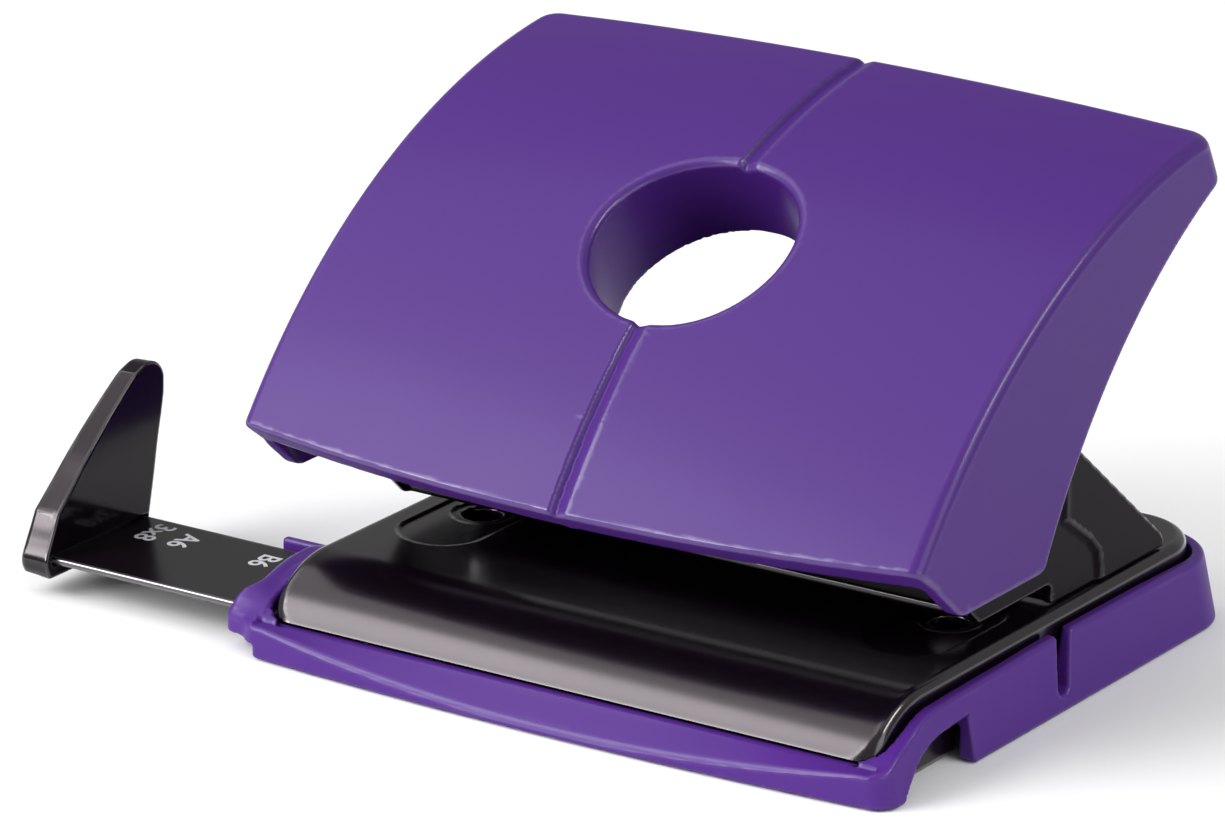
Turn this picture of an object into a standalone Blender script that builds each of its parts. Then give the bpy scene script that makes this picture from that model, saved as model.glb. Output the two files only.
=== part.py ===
"""Two-hole desk punch: curved plastic handle, steel punch unit, chip tray with a sliding paper stop.

Standalone Blender script. Lengths are in metres after MM; the frame has +X to the punch's right,
+Y to its back and +Z up, with the origin on the floor midway between the two holes.
"""
import math

import bmesh
import bpy
from mathutils import Matrix, Vector

MM = 0.001
GAP = 0.3  # clearance between pieces that touch on the real punch

# Paper geometry (ISO 838): hole pitch, hole edge distance, pin diameter
HOLE_PITCH = 80.0
HOLE_TO_STOP = 12.0
PIN_RADIUS = 2.75
HOLE_X = HOLE_PITCH / 2

# Base plate, an inverted steel pan
PLATE_X = 51.2
PLATE_FRONT = -37.9
PLATE_REAR = 54.4
PLATE_TOP = 12.8
SHEET = 1.2
PILLOW_START = -25.0
PILLOW_BOTTOM = 5.1
PLATE_CORNER = 10.0

LUG_FRONT, LUG_REAR = -30.4, -16.2

# Paper slot and punch frame
SLOT_TOP = 16.2
CHEEK_X = 50.2
CHEEK_FRONT = -7.5
CHEEK_REAR = 42.0
GUIDE_Z = 22.0
WEB_REAR = HOLE_TO_STOP + SHEET

# Pivot of the handle
AXLE_Y, AXLE_Z = -14.0, 33.0
AXLE_RADIUS = 2.5

# Handle: a barrel about the X direction, given by its circle in the YZ plane
BARREL_Y, BARREL_Z, BARREL_R = 50.7, -31.1, 110.0
CROWN = 2.2  # the surface is this much lower at the sides than in the middle
HANDLE_X = 57.0
HANDLE_WALL = 2.2
FRONT_ANGLE, FRONT_BOW, REAR_ANGLE = 55.2, 1.8, 5.3
FRONT_LIP = 5.5
FLANGE_BOTTOM = 23.2
INNER_ARC_Y, INNER_ARC_Z, INNER_ARC_R = 84.8, -20.3, 98.0
RING_Y, RING_Z = -5.35, 62.7
RING_BORE, RING_WALL, RING_DEPTH = 15.4, 2.2, 14.6
RING_TILT = math.radians(30.9)

# Press lever under the handle
LEVER_Z = 40.3
LEVER_REAR = 5.0
LEVER_SHEET = 1.7

# Pins and springs
PIN_BOTTOM = 17.5
PIN_TOP = LEVER_Z - GAP
PIN_CLIP_Z = 35.8
SPRING_WIRE = 0.4
SPRING_RADIUS = 3.9
SPRING_TURNS = 4.5

# Chip tray
TRAY_X = 55.3
TRAY_LEAN = 1.9  # the side walls lean inwards by this much from floor to top
INNER_LEFT, INNER_RIGHT = -51.8, 51.6
TRAY_REAR = 57.4
CAVITY_REAR = 54.7
TRAY_TOP = 10.8
LEFT_TOP = 10.0
LEDGE_Z = 4.8
LEDGE_FRONT = -38.3
FRONT_EDGE, FRONT_EDGE_BOW = -42.7, 1.9
CRESCENT_LOW = 1.0
FLOOR = 1.4
EAR_X, EAR_ROOT = -58.1, -52.4
EAR_FRONT, EAR_REAR = -38.2, -11.2
EAR_BOTTOM, EAR_SHELF, EAR_CREASE = 2.0, 4.2, 4.8
# Upper part of the ear: y, outer x, height of its outer edge and of its inner edge
EAR_STATIONS = (
    (-38.2, -58.0, 5.9, 5.4), (-37.4, -58.0, 6.9, 5.8), (-36.4, -57.9, 8.3, 6.3), (-35.4, -57.7, 9.3, 6.9),
    (-34.7, -56.8, 9.8, 7.2), (-34.0, -55.6, 9.9, 7.5), (-33.0, -55.1, 9.9, 8.0), (-31.0, -55.3, 10.0, 8.9),
    (-27.5, -56.3, 10.0, 9.7), (-24.0, -57.2, 10.0, 9.9), (-20.0, -57.6, 9.7, 9.7), (-16.0, -57.7, 8.4, 8.4),
    (-12.0, -57.7, 7.2, 7.2), (-11.2, -57.7, 7.0, 7.0),
)

# Paper stop
RAIL_TOP = 5.7
RAIL_SHEET = 1.0
RAIL_FRONT, RAIL_REAR = -35.9, -13.5
RAIL_INNER_END = 26.0
FENCE_X = -91.3
FENCE_PLATE = 2.0
FENCE_WALL = 1.5
# Outline of the fence, y and z, from the front foot round the tip to the rear foot
FENCE_LINE = (
    (-37.6, 3.4), (-37.4, 4.4), (-36.4, 6.3), (-35.5, 9.0), (-34.7, 11.2), (-34.0, 12.3), (-32.8, 13.6),
    (-30.3, 15.9), (-26.7, 19.4), (-21.7, 23.6), (-17.3, 27.0), (-15.0, 28.6), (-13.4, 29.3), (-11.8, 29.3),
    (-10.3, 28.5), (-9.2, 27.2), (-8.6, 25.6), (-8.7, 23.7), (-9.3, 21.0), (-10.4, 16.7), (-11.5, 11.5),
    (-12.9, 5.6), (-13.6, 2.6), (-36.6, 2.6),
)
FENCE_CORE = (  # the same outline with fewer points, for the hollow
    (-37.2, 2.6), (-35.5, 9.0), (-33.8, 12.6), (-26.7, 19.4), (-17.3, 27.0), (-13.8, 29.2), (-10.6, 28.6),
    (-8.7, 25.6), (-9.3, 21.0), (-11.5, 11.5), (-13.6, 2.6),
)
FENCE_DEPTHS = ((2.4, 5.3), (12.0, 5.0), (29.4, 3.6))  # rim depth at heights z
FORMAT_STOPS = (68.5, 74.0, 88.0, 105.0, 125.0, 148.5)

# Hinge line between chip tray and punch unit
HINGE_X, HINGE_Z = -50.9, 9.2

for old in list(bpy.data.objects):
    bpy.data.objects.remove(old, do_unlink=True)

parts = bpy.data.collections.new("hole_punch")
cutters = bpy.data.collections.new("cutters")
bpy.context.scene.collection.children.link(parts)
bpy.context.scene.collection.children.link(cutters)


# ---------------------------------------------------------------- materials and objects

def principled(name, colour, roughness, metallic):
    made = bpy.data.materials.new(name)
    made.use_nodes = True
    shader = made.node_tree.nodes["Principled BSDF"]
    shader.inputs["Base Color"].default_value = (*colour, 1.0)
    shader.inputs["Roughness"].default_value = roughness
    shader.inputs["Metallic"].default_value = metallic
    made.diffuse_color = (*colour, 1.0)
    return made


PURPLE = (0.095, 0.022, 0.36)
BLACK = (0.006, 0.004, 0.007)
STEEL = (0.55, 0.55, 0.56)


def place(name, bm, finish, smooth=True):
    """A named part from a bmesh in millimetres, with a material of its own."""
    bmesh.ops.recalc_face_normals(bm, faces=bm.faces)
    bmesh.ops.scale(bm, vec=(MM, MM, MM), verts=bm.verts)
    mesh = bpy.data.meshes.new(name)
    bm.to_mesh(mesh)
    bm.free()
    if smooth:
        mesh.shade_smooth()
        mesh.set_sharp_from_angle(angle=math.radians(35))
    made = bpy.data.objects.new(name, mesh)
    if finish is None:
        cutters.objects.link(made)
        made.hide_render = True
        made.display_type = "WIRE"
    else:
        colour, roughness, metallic = finish
        mesh.materials.append(principled(name, colour, roughness, metallic))
        parts.objects.link(made)
    return made


def combine(target, helper, operation):
    step = target.modifiers.new(helper.name, "BOOLEAN")
    step.operation = operation
    step.solver = "EXACT"
    step.object = helper


def cut(target, *helpers):
    for helper in helpers:
        combine(target, helper, "DIFFERENCE")


def join(target, *helpers):
    for helper in helpers:
        combine(target, helper, "UNION")


def keep_inside(target, helper):
    combine(target, helper, "INTERSECT")


# ---------------------------------------------------------------- basic shapes, in millimetres

def block(x0, x1, y0, y1, z0, z1):
    bm = bmesh.new()
    bmesh.ops.create_cube(bm, size=1.0)
    bmesh.ops.scale(bm, vec=(x1 - x0, y1 - y0, z1 - z0), verts=bm.verts)
    bmesh.ops.translate(bm, vec=((x0 + x1) / 2, (y0 + y1) / 2, (z0 + z1) / 2), verts=bm.verts)
    return bm


def rod(radius, length, centre, direction=(0, 0, 1), segments=24, top_radius=None):
    bm = bmesh.new()
    bmesh.ops.create_cone(
        bm, cap_ends=True, segments=segments, depth=length,
        radius1=radius, radius2=radius if top_radius is None else top_radius,
    )
    turn = Vector((0, 0, 1)).rotation_difference(Vector(direction)).to_matrix().to_4x4()
    bmesh.ops.transform(bm, matrix=Matrix.Translation(Vector(centre)) @ turn, verts=bm.verts)
    return bm


def extruded(outline, axis, low, high):
    """A flat outline pushed along X (points are y, z), Y (x, z) or Z (x, y)."""
    curve = bpy.data.curves.new("outline", "CURVE")
    curve.dimensions = "2D"
    curve.fill_mode = "BOTH"
    curve.extrude = (high - low) / 2
    line = curve.splines.new("POLY")
    line.points.add(len(outline) - 1)
    line.use_cyclic_u = True
    for point, (u, v) in zip(line.points, outline):
        point.co = (u, v, 0, 1)
    drawn = bpy.data.objects.new("outline", curve)
    bpy.context.scene.collection.objects.link(drawn)
    evaluated = drawn.evaluated_get(bpy.context.evaluated_depsgraph_get())
    mesh = bpy.data.meshes.new_from_object(evaluated)
    bpy.data.objects.remove(drawn)
    bm = bmesh.new()
    bm.from_mesh(mesh)
    bmesh.ops.remove_doubles(bm, verts=bm.verts, dist=0.001)
    turn = {
        "X": Matrix(((0, 0, 1), (1, 0, 0), (0, 1, 0))),
        "Y": Matrix(((1, 0, 0), (0, 0, 1), (0, 1, 0))),
        "Z": Matrix.Identity(3),
    }[axis]
    bmesh.ops.transform(bm, matrix=turn.to_4x4(), verts=bm.verts)
    bmesh.ops.translate(bm, vec=turn @ Vector((0, 0, (low + high) / 2)), verts=bm.verts)
    return bm


def lofted(rings):
    """A closed body through rings of equal length, capped at both ends."""
    bm = bmesh.new()
    rows = [[bm.verts.new(point) for point in ring] for ring in rings]
    count = len(rows[0])
    for near, far in zip(rows, rows[1:]):
        for i in range(count):
            j = (i + 1) % count
            bm.faces.new((near[i], near[j], far[j], far[i]))
    bm.faces.new(rows[0])
    bm.faces.new(rows[-1])
    return bm


def arc(centre, radius, start, end, steps):
    """Points on a circle from one angle to another, in degrees."""
    return [
        (centre[0] + radius * math.cos(math.radians(start + (end - start) * i / steps)),
         centre[1] + radius * math.sin(math.radians(start + (end - start) * i / steps)))
        for i in range(steps + 1)
    ]


def rounded_rectangle(x0, x1, y0, y1, front_radius, rear_radius, steps=5):
    f, r = front_radius, rear_radius
    return (
        arc((x1 - f, y0 + f), f, -90, 0, steps) + arc((x1 - r, y1 - r), r, 0, 90, steps)
        + arc((x0 + r, y1 - r), r, 90, 180, steps) + arc((x0 + f, y0 + f), f, 180, 270, steps)
    )


# ---------------------------------------------------------------- handle

def barrel_point(x, radius, angle):
    turned = math.radians(angle)
    return (x, BARREL_Y - radius * math.sin(turned), BARREL_Z + radius * math.cos(turned))


def surface_radius(x):
    return BARREL_R - CROWN * (x / HANDLE_X) ** 2


def barrel_body(half_width, drop, low_radius, front_inset, rear_inset, edge, steps=18, across=10):
    """A wedge of the barrel under its crowned surface, from the bowed front edge to the rear lip."""
    top = []
    for i in range(across + 1):
        x = -(half_width - edge) + 2 * (half_width - edge) * i / across
        top.append((x, surface_radius(x) - drop))
    shoulder = surface_radius(half_width) - drop - edge
    section = [(-half_width, low_radius), (-half_width, shoulder)]
    section += top
    section += [(half_width, shoulder), (half_width, low_radius)]
    rings = []
    for i in range(steps + 1):
        share = i / steps
        ring = []
        for x, radius in section:
            front = FRONT_ANGLE - FRONT_BOW * (x / HANDLE_X) ** 2 - front_inset
            rear = REAR_ANGLE - 0.2 * (BARREL_R - radius) + rear_inset
            ring.append(barrel_point(x, radius, front + (rear - front) * share))
        rings.append(ring)
    return lofted(rings)


def ring_place(along):
    """A point on the axis of the finger hole; along is measured outwards from its rim."""
    return (0, RING_Y - along * math.sin(RING_TILT), RING_Z + along * math.cos(RING_TILT))


def ring_rod(radius, low, high, segments):
    direction = (0, -math.sin(RING_TILT), math.cos(RING_TILT))
    return rod(radius, high - low, ring_place((low + high) / 2), direction, segments)


def build_handle():
    wall_angle = math.degrees(HANDLE_WALL / BARREL_R)
    shell = place("handle_shell", barrel_body(HANDLE_X, 0, 70, 0, 0, 1.2), (PURPLE, 0.35, 0))
    inside = barrel_body(HANDLE_X - HANDLE_WALL, HANDLE_WALL, 60, wall_angle, wall_angle, 0.5)
    cut(shell, place("handle_inside", inside, None))

    inner_edge = arc((INNER_ARC_Y, INNER_ARC_Z), INNER_ARC_R, 153.2, 115.2, 14)
    below = inner_edge + [(90, inner_edge[-1][1]), (90, -60), (-60, -60), (-60, FLANGE_BOTTOM)]
    cut(shell, place("handle_below", extruded(below, "X", -70, 70), None))

    rings = []
    lip_radius = BARREL_R - FRONT_LIP
    for angle in (FRONT_ANGLE + 6, FRONT_ANGLE - 3):
        half = HANDLE_X - HANDLE_WALL - 3
        corners = [(-half, 60), (-half, lip_radius - 4), (-half + 8, lip_radius)]
        corners += [(half - 8, lip_radius), (half, lip_radius - 4), (half, 60)]
        rings.append([barrel_point(x, radius, angle) for x, radius in corners])
    cut(shell, place("handle_front_opening", lofted(rings), None))

    whole = place("handle_whole", barrel_body(HANDLE_X, 0.6, 60, 0.4, 0.4, 1.2), None)
    collar = place("finger_ring", ring_rod(RING_BORE + RING_WALL, -RING_DEPTH, 9, 40), None)
    keep_inside(collar, whole)
    join(shell, collar)
    for side in (-1, 1):
        for row, y in enumerate(SCREW_ROWS):
            top = 75
            low = LEVER_Z + LEVER_SHEET + GAP
            boss = rod(3.6, top - low, (side * SCREW_X, y, (top + low) / 2), segments=16)
            boss = place(f"boss_{'l' if side < 0 else 'r'}{row}", boss, None)
            keep_inside(boss, whole)
            hole = rod(1.7, 9, (side * SCREW_X, y, low + 4.4), segments=12)
            hole = place(f"{boss.name}_bore", hole, None)
            join(shell, boss)
            cut(shell, hole)
    cut(shell, place("finger_bore", ring_rod(RING_BORE, -30, 30, 40), None))

    rings = []
    for i in range(19):
        angle = FRONT_ANGLE + 3 - (FRONT_ANGLE - REAR_ANGLE + 6) * i / 18
        corners = [(0.3, BARREL_R - 1.0), (1.2, BARREL_R + 2), (-1.2, BARREL_R + 2), (-0.3, BARREL_R - 1.0)]
        rings.append([barrel_point(x, radius, angle) for x, radius in corners])
    cut(shell, place("handle_groove", lofted(rings), None))
    return shell


SCREW_X = 27.0
SCREW_ROWS = (-7.0, 2.0)


def build_lever():
    """The steel lever that turns on the axle, carries the handle and presses on the pins."""
    top = LEVER_Z + LEVER_SHEET
    arm = arc((AXLE_Y, AXLE_Z), 6, 135, 300, 10)
    arm += [(LEVER_REAR, LEVER_Z - 2), (LEVER_REAR, top), (-11, top)]
    lever = place("press_lever", block(-48.3, 48.3, -11, LEVER_REAR, LEVER_Z, top), (BLACK, 0.35, 0.6))
    for side in (-1, 1):
        low, high = sorted((side * 46.8, side * 48.3))
        join(lever, place(f"lever_arm_{'l' if side < 0 else 'r'}", extruded(arm, "X", low, high), None))
    bore = rod(AXLE_RADIUS + 0.25, 120, (0, AXLE_Y, AXLE_Z), (1, 0, 0))
    cut(lever, place("lever_bore", bore, None))
    made = [lever]
    for side in (-1, 1):
        for row, y in enumerate(SCREW_ROWS):
            x = side * SCREW_X
            name = f"handle_screw_{'left' if side < 0 else 'right'}_{row + 1}"
            hole = rod(1.8, 8, (x, y, LEVER_Z), segments=12)
            cut(lever, place(f"{name}_hole", hole, None))
            screw = place(name, rod(1.4, 8.6, (x, y, LEVER_Z + 3.4), segments=12), (STEEL, 0.3, 1))
            head = rod(2.8, 1.5, (x, y, LEVER_Z - GAP - 0.75), segments=16)
            join(screw, place(f"{name}_head", head, None))
            made.append(screw)
    return made


# ---------------------------------------------------------------- punch unit

def build_base_plate():
    """A sheet-steel pan turned upside down, with a pillow-shaped front."""
    def side_profile(inset):
        drop = PLATE_TOP - PILLOW_BOTTOM
        run = PILLOW_START - PLATE_FRONT
        radius = (run * run + drop * drop) / (2 * drop)
        end = 90 + math.degrees(math.asin(run / radius))
        front = arc((PILLOW_START, PLATE_TOP - radius), radius - inset, end, 90, 8)
        rear_edge = 2.5
        back = arc((PLATE_REAR - rear_edge, PLATE_TOP - rear_edge), rear_edge - inset, 90, 0, 4)
        return front, back

    front, back = side_profile(0)
    low = 0.7
    outline = [(PLATE_FRONT, low)] + front + back + [(PLATE_REAR, low)]
    outer = extruded(outline, "X", -PLATE_X, PLATE_X)
    plate = place("base_plate", outer, (BLACK, 0.18, 0.3))
    plan = rounded_rectangle(-PLATE_X, PLATE_X, PLATE_FRONT - 0.5, PLATE_REAR, 2.5, PLATE_CORNER)
    keep_inside(plate, place("plate_plan", extruded(plan, "Z", -5, 30), None))

    front, back = side_profile(SHEET)
    outline = [(front[0][0], -2)] + front + back + [(PLATE_REAR - SHEET, -2)]
    inner_x = PLATE_X - SHEET
    inside = place("plate_inside", extruded(outline, "X", -inner_x, inner_x), None)
    plan = rounded_rectangle(-inner_x, inner_x, -60, PLATE_REAR - SHEET, 2.5, PLATE_CORNER - SHEET)
    keep_inside(inside, place("plate_inside_plan", extruded(plan, "Z", -5, 30), None))
    cut(plate, inside)

    # The front flange and the left side clear the sliding rail; the right side keeps a deep latch lug.
    cut(plate, place("plate_front_trim", block(-60, 60, -60, -33.5, -5, PILLOW_BOTTOM), None))
    cut(plate, place("plate_left_trim", block(-60, -45, -60, -4.5, -5, 7.8), None))
    cut(plate, place("plate_right_trim", block(45, 60, -40, LUG_FRONT, -5, PILLOW_BOTTOM), None))
    cut(plate, place("plate_right_rear_trim", block(45, 60, LUG_REAR, 60, -5, PILLOW_BOTTOM), None))
    cut(plate, place("plate_left_low", block(-60, -45, -5, 60, -5, 4.0), None))
    cut(plate, place("plate_rear_trim", block(-47, 47, 38, 60, -5, PILLOW_BOTTOM), None))

    for side in (-1, 1):
        tag = "l" if side < 0 else "r"
        x = side * HOLE_X
        oval = arc((x, -9.6), 7.0, 180, 360, 12) + arc((x, 2.5), 7.0, 0, 180, 12)
        dimple = extruded(oval, "Z", PLATE_TOP - 0.4, PLATE_TOP + 3)
        cut(plate, place(f"dimple_{tag}", dimple, None))
        cut(plate, place(f"die_{tag}", rod(PIN_RADIUS + 0.15, 10, (x, 0, PLATE_TOP)), None))
        for row, y in enumerate(RIVET_ROWS):
            hole = rod(RIVET_RADIUS + 0.2, 10, (side * RIVET_X, y, PLATE_TOP), segments=12)
            cut(plate, place(f"plate_rivet_hole_{tag}{row}", hole, None))
    # Two windows in the left side take the tray's hinge hooks.
    for row, y in enumerate(HOOK_ROWS):
        window = block(-55, -48, y - HOOK_HALF - 0.6, y + HOOK_HALF + 0.6, HINGE_Z - 1.6, HINGE_Z + 1.6)
        cut(plate, place(f"hook_window_{row}", window, None))
    return plate


RIVET_X, RIVET_ROWS, RIVET_RADIUS = 44.5, (22.0, 36.0), 1.8
HOOK_ROWS, HOOK_HALF = (8.0, 38.0), 3.5


def cheek_outline():
    slot_end = arc((HOLE_TO_STOP - 1.6, SLOT_TOP - 1.6), 1.6, 90, 0, 4)
    foot = PLATE_TOP + GAP
    rear = [(HOLE_TO_STOP, foot), (CHEEK_REAR, foot), (CHEEK_REAR, 14.2), (40.9, 15.6)]
    crown_ = arc((8.6, 38.2), 3.0, 50, 90, 3)
    nose = arc((AXLE_Y, AXLE_Z), 8.0, 95, 222, 9)
    return [(CHEEK_FRONT, SLOT_TOP)] + slot_end + rear + crown_ + nose


def build_frame():
    """One bent sheet: two forward-leaning cheeks, the web that guides the pins, and two riveted feet."""
    outline = cheek_outline()
    frame = place(
        "punch_frame",
        block(-49.7, 49.7, CHEEK_FRONT + 0.4, WEB_REAR, SLOT_TOP + 0.1, SLOT_TOP + 1.4), (BLACK, 0.22, 0.3),
    )
    stop = block(-49.6, 49.6, HOLE_TO_STOP + 0.1, WEB_REAR - 0.1, PLATE_TOP + GAP + 0.2, SLOT_TOP + 0.8)
    join(frame, place("paper_stop", stop, None))
    for side in (-1, 1):
        tag = "l" if side < 0 else "r"
        low, high = sorted((side * (CHEEK_X - SHEET), side * CHEEK_X))
        join(frame, place(f"cheek_{tag}", extruded(outline, "X", low, high), None))
        low, high = sorted((side * 39.5, side * 49.8))
        foot = block(low, high, 17, 41, PLATE_TOP + GAP + 0.1, PLATE_TOP + GAP + SHEET)
        join(frame, place(f"foot_{tag}", foot, None))
    for side in (-1, 1):
        tag = "l" if side < 0 else "r"
        guide = rod(PIN_RADIUS + 0.15, 12, (side * HOLE_X, 0, SLOT_TOP))
        cut(frame, place(f"web_guide_{tag}", guide, None))
        for row, y in enumerate(RIVET_ROWS):
            hole = rod(RIVET_RADIUS + 0.2, 10, (side * RIVET_X, y, PLATE_TOP), segments=12)
            cut(frame, place(f"foot_rivet_hole_{tag}{row}", hole, None))
    bore = rod(AXLE_RADIUS + 0.25, 120, (0, AXLE_Y, AXLE_Z), (1, 0, 0))
    cut(frame, place("cheek_bore", bore, None))
    return frame


def build_rivets():
    made = []
    for side in (-1, 1):
        for row, y in enumerate(RIVET_ROWS):
            x = side * RIVET_X
            name = f"frame_rivet_{'left' if side < 0 else 'right'}_{row + 1}"
            top = PLATE_TOP + GAP + SHEET + GAP
            bottom = PLATE_TOP - SHEET - GAP
            shank = rod(RIVET_RADIUS, top - bottom + 1, (x, y, (top + bottom) / 2), segments=12)
            rivet = place(name, shank, (STEEL, 0.35, 1))
            head = rod(3.2, 1.3, (x, y, top + 0.65), segments=16, top_radius=1.9)
            tail = rod(1.9, 1.0, (x, y, bottom - 0.5), segments=16, top_radius=3.0)
            join(rivet, place(f"{name}_head", head, None), place(f"{name}_tail", tail, None))
            made.append(rivet)
    return made


def build_upper_guide():
    guide = place("upper_guide", block(-48.6, 48.6, -7, 7, GUIDE_Z, GUIDE_Z + SHEET), (STEEL, 0.4, 1))
    for side in (-1, 1):
        tag = "l" if side < 0 else "r"
        low, high = sorted((side * (48.6 - SHEET), side * 48.6))
        join(guide, place(f"guide_tab_{tag}", block(low, high, -7, 7, 19.2, GUIDE_Z + 0.5), None))
    for side in (-1, 1):
        hole = rod(PIN_RADIUS + 0.15, 12, (side * HOLE_X, 0, GUIDE_Z))
        cut(guide, place(f"guide_hole_{'l' if side < 0 else 'r'}", hole, None))
    return guide


def build_axle():
    axle = place(
        "pivot_axle", rod(AXLE_RADIUS, 104.6, (0, AXLE_Y, AXLE_Z), (1, 0, 0)), (STEEL, 0.25, 1)
    )
    made = [axle]
    for side in (-1, 1):
        x = side * (CHEEK_X + GAP + 0.4)
        name = f"axle_clip_{'left' if side < 0 else 'right'}"
        neck = place(f"{name}_neck_outer", rod(6, 1.2, (x, AXLE_Y, AXLE_Z), (1, 0, 0)), None)
        cut(neck, place(f"{name}_neck_core", rod(1.9, 3, (x, AXLE_Y, AXLE_Z), (1, 0, 0)), None))
        cut(axle, neck)
        clip = place(name, rod(4.6, 0.7, (x, AXLE_Y, AXLE_Z), (1, 0, 0)), (STEEL, 0.3, 1))
        cut(clip, place(f"{name}_bore", rod(2.15, 3, (x, AXLE_Y, AXLE_Z), (1, 0, 0)), None))
        mouth = block(x - 2, x + 2, AXLE_Y - 1.5, AXLE_Y + 1.5, AXLE_Z - 8, AXLE_Z)
        cut(clip, place(f"{name}_mouth", mouth, None))
        made.append(clip)
    return made


def build_pin(side):
    """A punch pin with a hollow-ground tip, and the clip that its spring pushes on."""
    word = "left" if side < 0 else "right"
    x = side * HOLE_X
    shoulder = PIN_TOP - PIN_RADIUS
    middle = (x, 0, (PIN_BOTTOM + shoulder) / 2)
    pin = place(f"punch_pin_{word}", rod(PIN_RADIUS, shoulder - PIN_BOTTOM, middle), (STEEL, 0.2, 1))
    dome = bmesh.new()
    bmesh.ops.create_uvsphere(dome, u_segments=24, v_segments=16, radius=PIN_RADIUS - 0.01)
    bmesh.ops.translate(dome, vec=(x, 0, shoulder), verts=dome.verts)
    join(pin, place(f"pin_dome_{word}", dome, None))
    notch = extruded([(-4, -0.01), (0, 1.6), (4, -0.01), (4, -3), (-4, -3)], "X", -4, 4)
    bmesh.ops.translate(notch, vec=(x, 0, PIN_BOTTOM), verts=notch.verts)
    cut(pin, place(f"tip_{word}", notch, None))
    neck = place(f"pin_neck_{word}", rod(4, 1.4, (x, 0, PIN_CLIP_Z + 0.4)), None)
    cut(neck, place(f"pin_neck_core_{word}", rod(2.1, 3, (x, 0, PIN_CLIP_Z + 0.4)), None))
    cut(pin, neck)
    clip = place(f"pin_clip_{word}", rod(4.6, 0.8, (x, 0, PIN_CLIP_Z + 0.4)), (STEEL, 0.3, 1))
    cut(clip, place(f"pin_clip_bore_{word}", rod(2.4, 3, (x, 0, PIN_CLIP_Z + 0.4)), None))
    mouth = block(x - 1.5, x + 1.5, 0, 8, PIN_CLIP_Z - 2, PIN_CLIP_Z + 2)
    cut(clip, place(f"pin_clip_mouth_{word}", mouth, None))
    return [pin, clip]


def build_spring(side):
    word = "left" if side < 0 else "right"
    low = GUIDE_Z + SHEET + SPRING_WIRE + 0.15
    high = PIN_CLIP_Z - SPRING_WIRE - 0.15
    steps = int(SPRING_TURNS * 12)
    curve = bpy.data.curves.new(f"pin_spring_{word}", "CURVE")
    curve.dimensions = "3D"
    curve.bevel_depth = SPRING_WIRE * MM
    curve.bevel_resolution = 2
    curve.use_fill_caps = True
    line = curve.splines.new("POLY")
    line.points.add(steps)
    for i, point in enumerate(line.points):
        share = i / steps
        eased = share - 0.09 * math.sin(4 * math.pi * share) / 2
        turn = 2 * math.pi * SPRING_TURNS * share
        point.co = (
            SPRING_RADIUS * math.cos(turn) * MM, SPRING_RADIUS * math.sin(turn) * MM,
            (low + (high - low) * eased) * MM, 1,
        )
    curve.materials.append(principled(f"pin_spring_{word}", STEEL, 0.25, 1))
    spring = bpy.data.objects.new(f"pin_spring_{word}", curve)
    spring.location = (side * HOLE_X * MM, 0, 0)
    parts.objects.link(spring)
    return spring


# ---------------------------------------------------------------- chip tray

def tray_front(x):
    return FRONT_EDGE + FRONT_EDGE_BOW * (x / 50.0) ** 2


def crescent_height(x):
    return CRESCENT_LOW + (LEDGE_Z - CRESCENT_LOW) * min(1.0, (x / 50.0) ** 2)


def tray_plan():
    """Outline of the tray: bowed front, straight sides and large rear corners."""
    corner, rear, side = 3.5, 12.0, TRAY_X + 0.4
    low = tray_front(50) + corner + 0.2
    line = [(x, tray_front(x)) for x in [-50 + 5 * i for i in range(21)]]
    line += arc((side - corner, low), corner, -55, 0, 4)
    line += arc((side - rear, TRAY_REAR - rear), rear, 0, 90, 7)
    line += arc((-side + rear, TRAY_REAR - rear), rear, 90, 180, 7)
    line += arc((-side + corner, low), corner, 180, 235, 4)
    return line


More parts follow.
